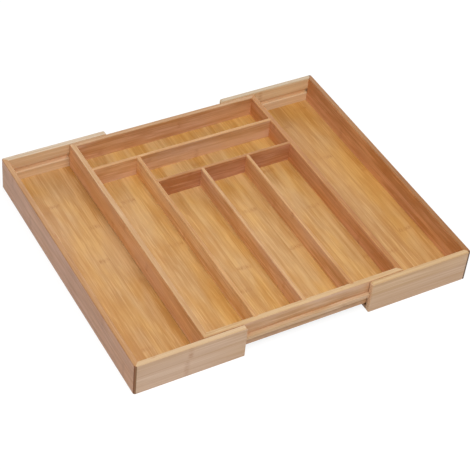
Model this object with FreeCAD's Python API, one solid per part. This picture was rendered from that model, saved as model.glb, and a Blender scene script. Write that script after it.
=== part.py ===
import FreeCAD, Part
import os
from FreeCAD import Vector

# Cutlery tray of laminated bamboo that draws out to both sides.
# A centre tray with a floor, dividers and a runner strip on its front and back walls
# hangs between two wings. A wing is an end wall between two arms, with a floor of its
# own that travels under the centre tray. The arms slide on the runners.
# The boards around the centre tray and around each wing are mitred at the corners.
# Millimetres: X along the slide, Y to the back, Z up. The origin is on the table, under
# the middle of the tray. The wings are drawn out, the right one a little further.

# Overall sizes
HEIGHT = 50.0             # from the table to the rim
DEPTH = 422.0             # front to back, over the arms
CENTRE_WIDTH = 296.0      # centre tray, over its side walls
LEFT_PULL_OUT = 91.0      # clear width of the left wing's compartment, drawn out
RIGHT_PULL_OUT = 96.0     # clear width of the right wing's compartment, drawn out
ARM_LENGTH = 156.0        # from a wing's outer face to the free ends of its arms

# Boards and panels
FRAME_BOARD = 7.5         # centre walls, arms and end walls
DIVIDER_BOARD = 5.0
FLOOR_PANEL = 5.0

# Compartments and levels
BACK_ROW = 51.0           # clear depth of the rearmost compartment
SECOND_ROW = 52.0         # clear depth of the compartment in front of it
WING_PANEL_RISE = 4.5     # underside of a wing's floor above the table
CENTRE_PANEL_RISE = 4.5   # underside of the centre floor above the foot of its walls
RUNNER_RISE = 23.0        # underside of the runners above the table

# Joinery
PANEL_GROOVE = 4.0        # how far a floor panel is let into the boards around it
HOUSING = 2.0             # how far a divider's end is let into its neighbour
RUNNER_HEIGHT = 7.0
RUNNER_SEAT = 2.5         # how far a runner is let into its wall
GROOVE_DEPTH = 4.0        # groove for the runner in an arm
RAIL_WIDTH = 18.0         # foot rail between the arms' free ends, under the wing's floor
FLOOR_SET_BACK = 8.0      # free edge of a wing's floor behind the arms' free ends

# Clearances between the centre tray and the wings
SIDE_CLEARANCE = 1.0      # centre walls to the arms
UNDER_CLEARANCE = 0.5     # foot of the centre walls to the wing floors
RUNNER_CLEARANCE = 0.3    # runner to the ledge that it rides on
HEAD_CLEARANCE = 1.8      # runner to the roof of its groove
TIP_CLEARANCE = 0.5       # runner's edge to the bottom of its groove

# Edges
EASE = 1.0                # sanded rims
RUNNER_EASE = 0.8         # leading edges of the runners
TIP_ROUND = 3.0           # upper corner of an arm's free end
CORNER_ROUND = 3.0        # upright outer corners of the wings

NEAR = 0.001              # lengths closer than this count as equal
OUTSIDE = 1.0             # how far a cutter stands out of the face that it enters

# Faces that the pieces share; the centre tray's are counted from its own middle
half_depth = DEPTH / 2
arm_inner = half_depth - FRAME_BOARD
wall_outer = arm_inner - SIDE_CLEARANCE
wall_inner = wall_outer - FRAME_BOARD
side_outer = CENTRE_WIDTH / 2
side_inner = side_outer - FRAME_BOARD
end_inner = (CENTRE_WIDTH + LEFT_PULL_OUT + RIGHT_PULL_OUT) / 2
end_outer = end_inner + FRAME_BOARD
arm_tip = end_outer - ARM_LENGTH
centre_middle = (LEFT_PULL_OUT - RIGHT_PULL_OUT) / 2

wing_floor_top = WING_PANEL_RISE + FLOOR_PANEL
centre_foot = wing_floor_top + UNDER_CLEARANCE
centre_floor_foot = centre_foot + CENTRE_PANEL_RISE
centre_floor_top = centre_floor_foot + FLOOR_PANEL
runner_top = RUNNER_RISE + RUNNER_HEIGHT


def span(a, b):
    """Pair of limits in rising order."""
    return (min(a, b), max(a, b))


def block(x, y, z):
    """Square-edged block between three pairs of limits."""
    corner = Vector(x[0], y[0], z[0])
    return Part.makeBox(x[1] - x[0], y[1] - y[0], z[1] - z[0], corner)


def rounded(shape, radius, wanted):
    """Fillet on the edges whose bounding box answers to the test."""
    edges = []
    for edge in shape.Edges:
        if wanted(edge.BoundBox):
            edges.append(edge)
    return shape.makeFillet(radius, edges)


def at_top(box):
    """An edge that lies in the plane of the rim."""
    return abs(box.ZMin - HEIGHT) < NEAR and abs(box.ZMax - HEIGHT) < NEAR


def divider_along_x(x, y, z):
    """Divider with its long top edges eased, running left to right."""
    ease = min(EASE, DIVIDER_BOARD / 3)
    return rounded(block(x, y, z), ease, lambda box: at_top(box) and box.YLength < NEAR)


def divider_along_y(x, y, z):
    """Divider with its long top edges eased, running front to back."""
    ease = min(EASE, DIVIDER_BOARD / 3)
    return rounded(block(x, y, z), ease, lambda box: at_top(box) and box.XLength < NEAR)


def let_in(board, guests):
    """Board with a seat cut for each piece that is let into it."""
    for guest in guests:
        board = board.cut(guest)
    return board


def mitred(frame, outer, inner):
    """One board of a frame, between the ends of its outer and its inner face in plan."""
    corners = []
    for x, y in (outer[0], outer[1], inner[1], inner[0], outer[0]):
        corners.append(Vector(x, y, 0))
    plan = Part.Face(Part.makePolygon(corners))
    return frame.common(plan.extrude(Vector(0, 0, HEIGHT)))


# Centre floor, let into the four walls
centre_floor = block(
    (-side_inner - PANEL_GROOVE, side_inner + PANEL_GROOVE),
    (-wall_inner - PANEL_GROOVE, wall_inner + PANEL_GROOVE),
    (centre_floor_foot, centre_floor_top))

# Dividers stand on the centre floor. Two run across, one runs from the back one to the
# front wall, and two short ones make equal columns in front of the other.
divider_z = (centre_floor_top, HEIGHT)
column = (2 * side_inner - 3 * DIVIDER_BOARD) / 4

back_y1 = wall_inner - BACK_ROW
back_y0 = back_y1 - DIVIDER_BOARD
front_y1 = back_y0 - SECOND_ROW
front_y0 = front_y1 - DIVIDER_BOARD


def divider_x(number):
    """Left and right face of a divider between two columns, counted from the left."""
    left = -side_inner + number * column + (number - 1) * DIVIDER_BOARD
    return (left, left + DIVIDER_BOARD)


long_x = divider_x(1)
housed_front = -wall_inner - HOUSING

cross_back_place = (
    (-side_inner - HOUSING, side_inner + HOUSING), (back_y0, back_y1), divider_z)
cross_front_place = (
    (long_x[1] - HOUSING, side_inner + HOUSING), (front_y0, front_y1), divider_z)
long_place = (long_x, (housed_front, back_y0 + HOUSING), divider_z)
short_left_place = (divider_x(2), (housed_front, front_y0 + HOUSING), divider_z)
short_right_place = (divider_x(3), (housed_front, front_y0 + HOUSING), divider_z)

cross_back_seat = block(*cross_back_place)
cross_front_seat = block(*cross_front_place)
long_seat = block(*long_place)
short_seats = [block(*short_left_place), block(*short_right_place)]

pieces = {}
pieces["centre_floor"] = centre_floor
pieces["cross_divider_back"] = let_in(divider_along_x(*cross_back_place), [long_seat])
pieces["cross_divider_front"] = let_in(divider_along_x(*cross_front_place), short_seats)
pieces["long_divider"] = let_in(divider_along_y(*long_place), [cross_front_seat])
pieces["short_divider_left"] = divider_along_y(*short_left_place)
pieces["short_divider_right"] = divider_along_y(*short_right_place)


def runner(end):
    """Strip of square stock let into a wall, and its seat; end is -1 at the front, 1 at the back."""
    edge = arm_inner + GROOVE_DEPTH - TIP_CLEARANCE
    strip = block(
        (-side_outer, side_outer),
        span(end * (wall_outer - RUNNER_SEAT), end * edge),
        (RUNNER_RISE, runner_top))
    leading = rounded(
        strip, RUNNER_EASE,
        lambda box: abs(box.Center.y - end * edge) < NEAR and box.XLength > CENTRE_WIDTH / 2)
    return leading, strip


# The four walls of the centre tray make a ring with eased rims. The runners' seats run
# through the mitres.
centre_ring = block((-side_outer, side_outer), (-wall_outer, wall_outer), (centre_foot, HEIGHT))
centre_ring = centre_ring.cut(block(
    (-side_inner, side_inner), (-wall_inner, wall_inner), (centre_foot - OUTSIDE, HEIGHT + OUTSIDE)))
centre_ring = rounded(centre_ring, EASE, at_top)

front_runner, front_seat = runner(-1)
back_runner, back_seat = runner(1)
pieces["front_runner"] = front_runner
pieces["back_runner"] = back_runner
wall_guests = [centre_floor, front_seat, back_seat]


def long_wall(end, seats):
    """Front or back wall of the centre tray."""
    board = mitred(
        centre_ring,
        [(-side_outer, end * wall_outer), (side_outer, end * wall_outer)],
        [(-side_inner, end * wall_inner), (side_inner, end * wall_inner)])
    return let_in(board, wall_guests + seats)


def side_wall(side, seats):
    """Left or right wall of the centre tray."""
    board = mitred(
        centre_ring,
        [(side * side_outer, -wall_outer), (side * side_outer, wall_outer)],
        [(side * side_inner, -wall_inner), (side * side_inner, wall_inner)])
    return let_in(board, wall_guests + seats)


pieces["centre_front_wall"] = long_wall(-1, [long_seat] + short_seats)
pieces["centre_back_wall"] = long_wall(1, [])
pieces["centre_left_wall"] = side_wall(-1, [cross_back_seat])
pieces["centre_right_wall"] = side_wall(1, [cross_back_seat, cross_front_seat])

for shape in pieces.values():
    shape.translate(Vector(centre_middle, 0, 0))


def wing_floor(side):
    """Floor panel of a wing; side is -1 on the left, 1 on the right."""
    reach = arm_inner + PANEL_GROOVE
    return block(
        span(side * (arm_tip + FLOOR_SET_BACK), side * (end_inner + PANEL_GROOVE)),
        (-reach, reach),
        (WING_PANEL_RISE, wing_floor_top))


def foot_rail(side):
    """Rail under the free edge of a wing's floor, which ties the ends of the arms."""
    return block(
        span(side * arm_tip, side * (arm_tip + RAIL_WIDTH)),
        (-arm_inner, arm_inner),
        (0, WING_PANEL_RISE))


def wing_frame(side):
    """The two arms and the end wall in one piece, rounded at the free ends and outer corners."""
    tip = side * arm_tip
    round_start = tip + side * TIP_ROUND
    outer_x = side * end_outer

    def free_corner(box):
        return at_top(box) and abs(box.Center.x - tip) < NEAR

    def outer_corner(box):
        return abs(box.Center.x - outer_x) < NEAR and box.YLength < NEAR

    def rim(box):
        along_top = at_top(box) and abs(box.Center.x - round_start) > NEAR
        at_tip = min(abs(box.XMin - tip), abs(box.XMax - tip)) < NEAR
        up_the_tip = at_tip and box.YLength < NEAR and box.ZLength > NEAR
        return along_top or up_the_tip

    frame = block(span(tip, outer_x), (-half_depth, half_depth), (0, HEIGHT))
    frame = rounded(frame, TIP_ROUND, free_corner)
    frame = rounded(frame, CORNER_ROUND, outer_corner)
    frame = frame.cut(block(
        span(tip - side * OUTSIDE, side * end_inner),
        (-arm_inner, arm_inner),
        (-OUTSIDE, HEIGHT + OUTSIDE)))
    return rounded(frame, EASE, rim)


def end_wall(side, frame, floor):
    """End wall of a wing, grooved for the floor."""
    board = mitred(
        frame,
        [(side * end_outer, -half_depth), (side * end_outer, half_depth)],
        [(side * end_inner, -arm_inner), (side * end_inner, arm_inner)])
    return let_in(board, [floor])


def arm(side, end, frame, floor):
    """Arm of a wing, with a groove for the runner that runs out at the mitre, and one for the floor."""
    board = mitred(
        frame,
        [(side * arm_tip, end * half_depth), (side * end_outer, end * half_depth)],
        [(side * arm_tip, end * arm_inner), (side * end_inner, end * arm_inner)])
    groove = block(
        span(side * (arm_tip - OUTSIDE), side * end_outer),
        span(end * (arm_inner - OUTSIDE), end * (arm_inner + GROOVE_DEPTH)),
        (RUNNER_RISE - RUNNER_CLEARANCE, runner_top + HEAD_CLEARANCE))
    return let_in(board, [groove, floor])


for side, side_name in ((-1, "left"), (1, "right")):
    floor = wing_floor(side)
    frame = wing_frame(side)
    pieces[side_name + "_floor"] = floor
    pieces[side_name + "_foot_rail"] = foot_rail(side)
    pieces[side_name + "_end_wall"] = end_wall(side, frame, floor)
    for end, end_name in ((-1, "front"), (1, "back")):
        pieces[side_name + "_" + end_name + "_arm"] = arm(side, end, frame, floor)

os.makedirs("parts", exist_ok=True)
for node, shape in pieces.items():
    shape.Solids[0].exportStep("parts/" + node + ".step")
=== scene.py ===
import bpy
import math
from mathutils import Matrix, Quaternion, Vector

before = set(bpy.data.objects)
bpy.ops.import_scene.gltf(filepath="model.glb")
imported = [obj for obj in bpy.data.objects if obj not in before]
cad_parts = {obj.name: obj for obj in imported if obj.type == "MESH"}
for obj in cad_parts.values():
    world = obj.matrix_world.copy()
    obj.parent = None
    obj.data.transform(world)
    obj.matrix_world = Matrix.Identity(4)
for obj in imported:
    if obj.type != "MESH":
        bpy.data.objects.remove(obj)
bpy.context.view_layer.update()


# Centre floor: a panel of golden bamboo strips glued edge to edge, fibres front to back.
# It is sanded, let into grooves in the four centre walls and lacquered with a thin satin coat.
# The same way of building bamboo serves every board of the tray.

X, Y, Z = 0, 1, 2
hairline_seam = (0.0004, 0.10)  # width in metres, and darkness
never = 1.0                     # further out than any board reaches


def shade(tone, gain):
    """Colour as a shader takes it, from the 0 to 255 values that a screen shows, times a gain."""
    def linear(value):
        part = value / 255
        return part / 12.92 if part <= 0.04045 else ((part + 0.055) / 1.055) ** 2.4
    return (*(linear(value) * times for value, times in zip(tone, gain)), 1.0)


def add_node(tree, kind, inputs, **settings):
    """Shader node with its settings; inputs gives each socket a value or another node's output."""
    node = tree.nodes.new("ShaderNode" + kind)
    for key, value in settings.items():
        setattr(node, key, value)
    for socket, value in inputs.items():
        if isinstance(value, bpy.types.NodeSocket):
            tree.links.new(value, node.inputs[socket])
        else:
            node.inputs[socket].default_value = value
    return node


def calc(tree, operation, *values):
    """Output of one arithmetic step on numbers or sockets."""
    return add_node(tree, "Math", dict(enumerate(values)), operation=operation).outputs[0]


def rest_of(tree, share):
    """Output of what is left of 1 after a share."""
    return calc(tree, "SUBTRACT", 1.0, share)


def split(tree, vector):
    """The three outputs of a vector's own axes."""
    return add_node(tree, "SeparateXYZ", {0: vector}).outputs


def stretch(tree, vector, scale):
    """Output of a vector scaled by its own amount along each axis."""
    return add_node(tree, "VectorMath", {0: vector, 1: scale}, operation="MULTIPLY").outputs[0]


def noise(tree, vector, waves, detail):
    """Output of a cloud noise from 0 to 1, with so many waves to the metre along each axis."""
    return add_node(tree, "TexNoise", {
        "Vector": stretch(tree, vector, waves),
        "Scale": 1.0, "Detail": detail, "Roughness": 0.55}).outputs["Fac"]


def ramp(tree, value, low, high, out_low, out_high):
    """Output that goes smoothly from out_low to out_high as the value goes from low to high."""
    inputs = {"Value": value, 1: low, 2: high, 3: out_low, 4: out_high}
    return add_node(tree, "MapRange", inputs, interpolation_type="SMOOTHSTEP").outputs[0]


def mix(tree, factor, first, second, blend="MIX"):
    """Output of two colours mixed by a factor, or blended in another way as far as it says."""
    return add_node(
        tree, "Mix", {0: factor, 6: first, 7: second},
        data_type="RGBA", blend_type=blend).outputs[2]


def bamboo(name, fibres, across, strip, ply, shift, tone, edge=None, bold=1.0, length=1.0,
           gloss=0.40, drift=0.6, strip_seam_and_shade=hairline_seam, corner=never, flat_shade_from=never, corner_darkening=1.0,
           milled=()):
    """Laminated bamboo. Strips lie side by side along one axis and plies behind one another.

    Place along the fibres, across the strips and through the plies are the three axes of the
    object. Each strip of each ply draws a random number, which shifts its figure and sets its
    tone. The figure goes from a deep to a pale form of the board's tone: long soft clouds,
    streaks along the fibres, hair lines, and short pale flecks where the fibres break the
    surface. A slow drift from orange to beige lies over it. A bold figure has more contrast, and
    a long one is drawn out along the fibres. Surfaces that face across the strips, such as a
    rim, take the edge tone. A seam of a given width and darkness runs between the strips; on the
    front wall it is broad and is painted shade. Once every knuckle_gap each strip has a knuckle of
    the cane, a soft smudge with brown specks.
    Where the surface turns towards the ends of the fibres it shows the cut bundles: pale where
    it is sawn, dark where it is rounded over, further out along the fibres than corner. Beyond
    brink the flat takes this dark as painted shade, and a small char darkens all of it further,
    also as painted shade.
    Surfaces inside all the milled ranges (axis, from, to) keep the face tone, and their faces
    are made a little paler: painted light that lifts the shade of the groove.
    """
    material = bpy.data.materials.new(name)
    material.use_nodes = True
    tree = material.node_tree
    tree.nodes.clear()

    # Place on the board, and the way that the surface faces.
    through = ({X, Y, Z} - {fibres, across}).pop()
    coordinates = add_node(tree, "TexCoord", {}).outputs
    place = add_node(
        tree, "Mapping", {"Vector": coordinates["Object"], "Location": shift}).outputs[0]
    axes = split(tree, place)
    along, side, depth = axes[fibres], axes[across], axes[through]
    spot = split(tree, coordinates["Object"])
    normals = split(tree, coordinates["Normal"])
    facing_ends = calc(tree, "ABSOLUTE", normals[fibres])
    facing_across = calc(tree, "ABSOLUTE", normals[across])

    # Strips: each draws its own number, and its figure is taken from another part of the noise.
    strip_place = calc(tree, "DIVIDE", side, strip)
    strip_number = calc(tree, "FLOOR", strip_place)
    ply_number = calc(tree, "FLOOR", calc(tree, "DIVIDE", depth, ply))
    cell = add_node(tree, "CombineXYZ", {0: strip_number, 1: ply_number}).outputs[0]
    draw = add_node(tree, "TexWhiteNoise", {"Vector": cell}, noise_dimensions="2D").outputs
    own_place = stretch(tree, draw["Color"], (3.0, 0.4, 0.4))
    drawn_out = calc(tree, "DIVIDE", along, length)
    straight = add_node(tree, "CombineXYZ", {0: drawn_out, 1: side, 2: depth}).outputs[0]
    grain = add_node(tree, "VectorMath", {0: straight, 1: own_place}, operation="ADD").outputs[0]

    # Figure: the strip's own tone and the layers of noise, each with its weight.
    broad = noise(tree, straight, (6.0, 20.0, 20.0), 2.0)
    clouds = noise(tree, grain, (14.0, 65.0, 65.0), 3.0)
    streaks = noise(tree, grain, (5.0, 250.0, 250.0), 4.0)
    hairs = noise(tree, grain, (30.0, 1500.0, 1500.0), 2.0)
    breaks = noise(tree, grain, (24.0, 520.0, 520.0), 1.0)
    flecks = ramp(tree, breaks, 0.56, 0.68, 0.0, 1.0)
    strip_swing, strip_start, fleck_weight = 0.40, -0.26, 0.40
    figure = calc(tree, "MULTIPLY_ADD", draw["Value"], strip_swing, strip_start)
    for layer, weight in ((broad, 0.8), (clouds, 1.5), (streaks, 1.5), (hairs, 0.5)):
        figure = calc(tree, "MULTIPLY_ADD", calc(tree, "SUBTRACT", layer, 0.5), weight, figure)
    figure = calc(tree, "MULTIPLY_ADD", flecks, fleck_weight, figure)
    figure = calc(tree, "MULTIPLY_ADD", figure, bold, 0.5)
    figure = add_node(tree, "Clamp", {0: figure}).outputs[0]

    deep, pale = (0.82, 0.72, 0.57), (1.12, 1.20, 1.35)
    orange, beige = (1.03, 0.985, 0.84, 1.0), (0.98, 1.0, 1.16, 1.0)
    face = mix(tree, figure, shade(tone, deep), shade(tone, pale))
    hue = ramp(tree, noise(tree, straight, (9.0, 28.0, 28.0), 2.0), 0.35, 0.65, 0.0, 1.0)
    face = mix(tree, drift, face, mix(tree, hue, orange, beige), "MULTIPLY")

    # Rims take the edge tone. Milled surfaces keep the face tone and are made paler, as painted
    # light in the groove.
    in_groove = 1.0 if milled else 0.0
    for axis, start, stop in milled:
        from_centre = calc(tree, "ABSOLUTE", spot[axis])
        inside = calc(tree, "COMPARE", from_centre, (start + stop) / 2, (stop - start) / 2)
        in_groove = calc(tree, "MULTIPLY", inside, in_groove)
    edge = edge or tone
    rim = mix(tree, figure, shade(edge, deep), shade(edge, pale))
    on_rim = ramp(tree, facing_across, 0.4, 0.8, 0.0, 1.0)
    # Painted light: the faces inside the groove are lightened, so that the recess reads less dark.
    groove_painted_light = calc(tree, "MULTIPLY", in_groove, rest_of(tree, on_rim))
    face = mix(tree, groove_painted_light, face, (1.20, 1.18, 1.16, 1.0), "MULTIPLY")
    face = mix(tree, calc(tree, "MULTIPLY", on_rim, rest_of(tree, in_groove)), face, rim)

    # Knuckles and seams, and the painted shade that a broad seam carries on the front wall.
    knuckle_gap, knuckle_reach = 0.29, 0.006
    turn = calc(tree, "ADD", calc(tree, "DIVIDE", along, knuckle_gap), draw["Value"])
    from_knuckle = calc(tree, "MULTIPLY", calc(tree, "PINGPONG", turn, 0.5), knuckle_gap)
    specks = noise(tree, grain, (170.0, 800.0, 800.0), 1.0)
    specks = ramp(tree, specks, 0.48, 0.62, 0.12, 0.46)
    near_knuckle = ramp(tree, from_knuckle, 0.0, knuckle_reach, 1.0, 0.0)
    smudge = calc(tree, "MULTIPLY", specks, near_knuckle)
    smudge = calc(tree, "MULTIPLY", smudge, ramp(tree, clouds, 0.3, 0.6, 0.3, 1.0))
    seam_width, seam_darkness = strip_seam_and_shade
    from_seam = calc(tree, "MULTIPLY", calc(tree, "PINGPONG", strip_place, 0.5), strip)
    # Dark seams between the strips; the broad ones of the front wall are painted shade.
    seam_and_shade_lines = ramp(tree, from_seam, 0.0001, seam_width, seam_darkness, 0.0)
    marks = calc(tree, "MAXIMUM", smudge, seam_and_shade_lines)
    face = mix(tree, marks, face, shade(tone, (0.55, 0.28, 0.10)))

    # Cut ends: the bundles of the cane are dots, pale on a sawn end and dark on a rounded corner.
    bundles_to_metre = 1100.0
    bundles = add_node(tree, "TexVoronoi", {"Vector": place, "Scale": bundles_to_metre})
    dots = ramp(tree, bundles.outputs["Distance"], 0.25, 0.5, 0.0, 1.0)
    sawn = mix(tree, dots, shade(tone, (0.72, 0.68, 0.66)), shade(tone, (1.18, 1.18, 1.20)))
    # Rounded ends are dark, and a gain below 1 darkens them further as painted shade.
    turned_ends_and_shade = mix(
        tree, dots, shade(tone, (0.30 * corner_darkening, 0.22 * corner_darkening, 0.15 * corner_darkening)),
        shade(tone, (0.42 * corner_darkening, 0.31 * corner_darkening, 0.22 * corner_darkening)))
    from_middle = calc(tree, "ABSOLUTE", spot[fibres])
    outside = calc(tree, "GREATER_THAN", from_middle, corner)
    rounded = calc(tree, "MULTIPLY", outside, ramp(tree, facing_ends, 0.02, 0.15, 0.0, 1.0))
    # Beyond a given distance the flat takes the same dark tone, as painted shade.
    rounded = calc(tree, "MAXIMUM", rounded, calc(tree, "GREATER_THAN", from_middle, flat_shade_from))
    square = ramp(tree, facing_ends, 0.70, 0.95, 0.0, 1.0)
    colour = mix(tree, square, mix(tree, rounded, face, turned_ends_and_shade), sawn)
    cut = calc(tree, "MAXIMUM", rounded, square)

    # Lacquer: satin, duller along the hair lines and on cut ends. It sinks into streaks and marks.
    hair_swing, cut_swing = 0.16, 0.2
    rough = calc(tree, "MULTIPLY_ADD", hairs, hair_swing, gloss - hair_swing / 2)
    rough = calc(tree, "MULTIPLY_ADD", cut, cut_swing, rough)
    height = calc(tree, "MULTIPLY_ADD", streaks, 0.4, calc(tree, "MULTIPLY", hairs, 0.6))
    height = calc(tree, "SUBTRACT", height, calc(tree, "MULTIPLY", marks, 0.8))
    bump = add_node(tree, "Bump", {"Height": height, "Strength": 0.3, "Distance": 0.0003})
    surface = add_node(tree, "BsdfPrincipled", {
        "Base Color": colour, "Roughness": rough, "Normal": bump.outputs[0],
        "Specular IOR Level": 0.4})
    add_node(tree, "OutputMaterial", {"Surface": surface.outputs[0]})
    return material


def dress(node, material):
    """Gives a CAD node its finish through its material slots."""
    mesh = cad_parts[node].data
    mesh.materials.clear()
    mesh.materials.append(material)


dress("centre_floor", bamboo(
    "centre_floor_bamboo", Y, X, strip=0.021, ply=0.02, shift=(-0.424, 0.1, -0.36),
    tone=(198, 154, 92), bold=1.1, gloss=0.44, drift=1.0))


# Centre walls: four boards planed to one thickness, mitred at the corners and glued. Each has
# two to four strips to its height and three plies to its thickness, with the fibres along it.
# On the front wall broad dark seams between the strips are painted shade, and one lies just above
# the runner, where the wall meets its top.

# Broad, dark seam that paints the shade where the front wall meets the runner's top.
painted_shade_band = (0.0045, 0.16)
for node, fibres, tone, edge, bold, strip, shift, strip_seam_and_shade in (
        ("centre_front_wall", X, (217, 170, 126), (201, 164, 116), 1.2, 0.022,
         (0.0, 0.07, 0.0132), painted_shade_band),
        ("centre_back_wall", X, (205, 155, 113), (191, 147, 103), 1.3, 0.0105,
         (0.13, -0.2972, -0.094), hairline_seam),
        ("centre_left_wall", Y, (243, 194, 144), (206, 164, 118), 0.9, 0.013,
         (0.0987, 0.14, 0.016), hairline_seam),
        ("centre_right_wall", Y, (215, 154, 102), (183, 125, 66), 1.3, 0.022,
         (0.39, 0.21, 0.006), hairline_seam)):
    dress(node, bamboo(
        node + "_bamboo", fibres, Z, strip=strip, ply=0.0028, shift=shift,
        tone=tone, edge=edge, bold=bold, strip_seam_and_shade=strip_seam_and_shade))


# Runners: square strips glued into a seat along the outer face of the front and the back wall.
# Their leading edges are eased, so that the arms of the wings slide along them.

for number, node in enumerate(("front_runner", "back_runner")):
    dress(node, bamboo(
        node + "_bamboo", X, Z, strip=0.01, ply=0.01, shift=(0.31 * number, 0.0, 0.002),
        tone=(223, 182, 139), edge=(197, 164, 129)))


# Dividers: thin boards with eased tops that stand on the centre floor, their ends let into
# shallow housings. Two run across the tray, and three run to the front wall.

for node, fibres, tone, edge, bold, shift in (
        ("cross_divider_back", X, (210, 164, 122), (204, 154, 100), 1.4, (0.0, -0.0337, 0.185)),
        ("cross_divider_front", X, (189, 132, 93), (181, 125, 69), 1.8, (0.17, 0.0207, 0.345)),
        ("long_divider", Y, (242, 198, 143), (199, 147, 91), 1.2, (0.0024, 0.22, 0.208)),
        ("short_divider_left", Y, (232, 183, 135), (199, 151, 100), 1.3, (0.51, 0.33, 0.001)),
        ("short_divider_right", Y, (226, 175, 124), (196, 144, 89), 1.3, (0.68, 0.44, 0.001))):
    dress(node, bamboo(
        node + "_bamboo", fibres, Z, strip=0.020, ply=0.0026, shift=shift,
        tone=tone, edge=edge, bold=bold))


# Wing floors: panels like the centre floor, held in grooves of the end wall and the arms.
# They lie lower than the centre floor, because they travel under it.

for node, tone, strip, shift in (
        ("left_floor", (195, 151, 93), 0.017, (0.026, 0.02, 0.50)),
        ("right_floor", (195, 148, 84), 0.021, (0.251, 0.41, 0.54))):
    dress(node, bamboo(
        node + "_bamboo", Y, X, strip=strip, ply=0.02, shift=shift,
        tone=tone, bold=1.1, gloss=0.44, drift=1.0))


# Foot rails: flat strips glued under the free edge of each wing floor, from arm to arm. They
# keep the arms from spreading, and carry that edge on the table.

for number, node in enumerate(("left_foot_rail", "right_foot_rail")):
    dress(node, bamboo(
        node + "_bamboo", Y, X, strip=0.03, ply=0.01, shift=(0.0, 0.37 * number, 0.0),
        tone=(190, 146, 104)))


# End walls: the outermost boards, mitred to the arms of their wing, fibres front to back.
# The right one was cut from darker cane, and the extra dark on its rounded corners is painted shade.

corner_start = 0.2
# Gain on the dark of the rounded corners: 1 keeps their own tone, and 0.5 darkens them as painted
# shade.
brown, painted_corner_shade = 1.0, 0.5
for node, tone, edge, bold, shift, corner_darkening in (
        ("left_end_wall", (219, 157, 110), (186, 137, 88), 1.1, (0.2672, 0.0, 0.3705), brown),
        ("right_end_wall", (214, 155, 105), (154, 99, 43), 1.7, (-0.1589, 0.23, -0.0855),
         painted_corner_shade)):
    dress(node, bamboo(
        node + "_bamboo", Y, Z, strip=0.0285, ply=0.0028, shift=shift,
        tone=tone, edge=edge, bold=bold, corner=corner_start, corner_darkening=corner_darkening))


# Arms: boards mitred to the end walls, with the outer corners rounded over after gluing.
# A groove milled along the inner face takes the runner, and a lower one takes the floor.
# On the right wing the rounded corners are painted darker as shade, and that painted shade runs on a
# little over the flat.

# Ranges of the groove, whose faces get painted light.
groove = ((Y, 0.2038, 0.2080), (Z, 0.0225, 0.0320))
# From here out to the ends, the flat of the right wing's arms is painted dark as shade.
right_flat_shade_start = 0.2449
for node, tone, edge, shift, flat_shade_from, corner_darkening in (
        ("left_front_arm", (227, 190, 154), (208, 175, 134), (0.03, 0.0948, 0.171),
         never, brown),
        ("left_back_arm", (221, 190, 152), (205, 181, 152), (0.19, -0.0845, 0.0855),
         never, brown),
        ("right_front_arm", (225, 186, 146), (204, 169, 123), (0.38, 0.33, 0.0855),
         right_flat_shade_start, painted_corner_shade),
        ("right_back_arm", (227, 196, 154), (193, 169, 137), (0.57, -0.0845, 0.0855),
         right_flat_shade_start, painted_corner_shade)):
    dress(node, bamboo(
        node + "_bamboo", X, Z, strip=0.0285, ply=0.0028, shift=shift,
        tone=tone, edge=edge, bold=0.8, length=3.0, drift=0.35, strip_seam_and_shade=(0.0025, 0.14),
        corner=corner_start, flat_shade_from=flat_shade_from, corner_darkening=corner_darkening, milled=groove))


# Table: a plain white sheet that runs to the horizon, a tenth of a millimetre under the tray.
# It takes the tray's soft shadow, and to the camera it adds light of its own, so that the sheet
# reads as white paper.

sheet = bpy.data.meshes.new("table")
far, top = 12.0, -0.0001
sheet.from_pydata(
    [(-far, -far, top), (far, -far, top), (far, far, top), (-far, far, top)],
    [], [(0, 1, 2, 3)])
table = bpy.data.objects.new("table", sheet)
bpy.context.scene.collection.objects.link(table)


def seen(tree):
    """Output that is 1 for rays from the camera, from a mirror or through glass, and 0 for light."""
    path = add_node(tree, "LightPath", {}).outputs
    straight = calc(tree, "MAXIMUM", path["Is Camera Ray"], path["Is Glossy Ray"])
    return calc(tree, "MAXIMUM", straight, path["Is Transmission Ray"])


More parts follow.
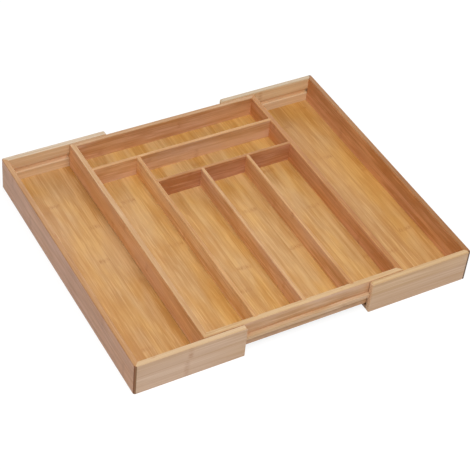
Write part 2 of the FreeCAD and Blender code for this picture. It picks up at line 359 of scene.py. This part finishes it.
paper = bpy.data.materials.new("white_paper")
paper.use_nodes = True
tree = paper.node_tree
tree.nodes.clear()
grey_to_light, grey_to_eye, glow_to_eye = 0.46, 0.20, 0.85
grey = ramp(tree, seen(tree), 0.0, 1.0, grey_to_light, grey_to_eye)
matt = add_node(tree, "BsdfDiffuse", {"Color": grey})
glow = add_node(tree, "Emission", {"Strength": calc(tree, "MULTIPLY", seen(tree), glow_to_eye)})
both = add_node(tree, "AddShader", {0: matt.outputs[0], 1: glow.outputs[0]})
add_node(tree, "OutputMaterial", {"Surface": both.outputs[0]})
sheet.materials.append(paper)


# Light: an even white sky, and one broad lamp above the camera, so that the shadows fall behind
# the walls and the faces towards the camera are nearly as light as the rims. A weak panel behind
# the tray lays a pale sheen on the rims at the back.

world = bpy.data.worlds.new("studio")
bpy.context.scene.world = world
world.use_nodes = True
tree = world.node_tree
tree.nodes.clear()
sky_light, sky_to_eye = 0.27, 1.0
strength = ramp(tree, seen(tree), 0.0, 1.0, sky_light, sky_to_eye)
sky = add_node(tree, "Background", {"Color": (1.0, 1.0, 1.0, 1.0), "Strength": strength})
add_node(tree, "OutputWorld", {"Surface": sky.outputs[0]})

for name, width, height, energy, location in (
        ("broad_lamp", 1.5, 1.5, 40.0, (-0.3, -0.9, 2.0)),
        ("back_panel", 2.2, 0.8, 9.0, (0.55, 1.35, 0.85))):
    lamp = bpy.data.lights.new(name, "AREA")
    lamp.shape = "RECTANGLE"
    lamp.size, lamp.size_y = width, height
    lamp.energy = energy
    lamp_object = bpy.data.objects.new(name, lamp)
    lamp_object.location = location
    lamp_object.rotation_mode = "QUATERNION"
    lamp_object.rotation_quaternion = (-lamp_object.location).to_track_quat("-Z", "Y")
    bpy.context.scene.collection.objects.link(lamp_object)


# Camera: a long lens, from the front left and well above the rim, tilted a little to one side.
# Its place and angles were solved from the corners of the tray in the photograph.

azimuth, elevation, roll = (math.radians(angle) for angle in (-32.9113, 42.8116, 6.2801))
gaze = Vector((
    -math.sin(azimuth) * math.cos(elevation),
    math.cos(azimuth) * math.cos(elevation),
    -math.sin(elevation)))
lens = bpy.data.cameras.new("camera")
lens.sensor_width = 36.0
lens.lens = 113.6275
camera = bpy.data.objects.new("camera", lens)
camera.location = (-0.81037, -1.26607, 1.38667)
camera.rotation_mode = "QUATERNION"
camera.rotation_quaternion = gaze.to_track_quat("-Z", "Y") @ Quaternion((0, 0, 1), roll)
bpy.context.scene.collection.objects.link(camera)
bpy.context.scene.camera = camera
bpy.context.scene.view_settings.view_transform = "Standard"
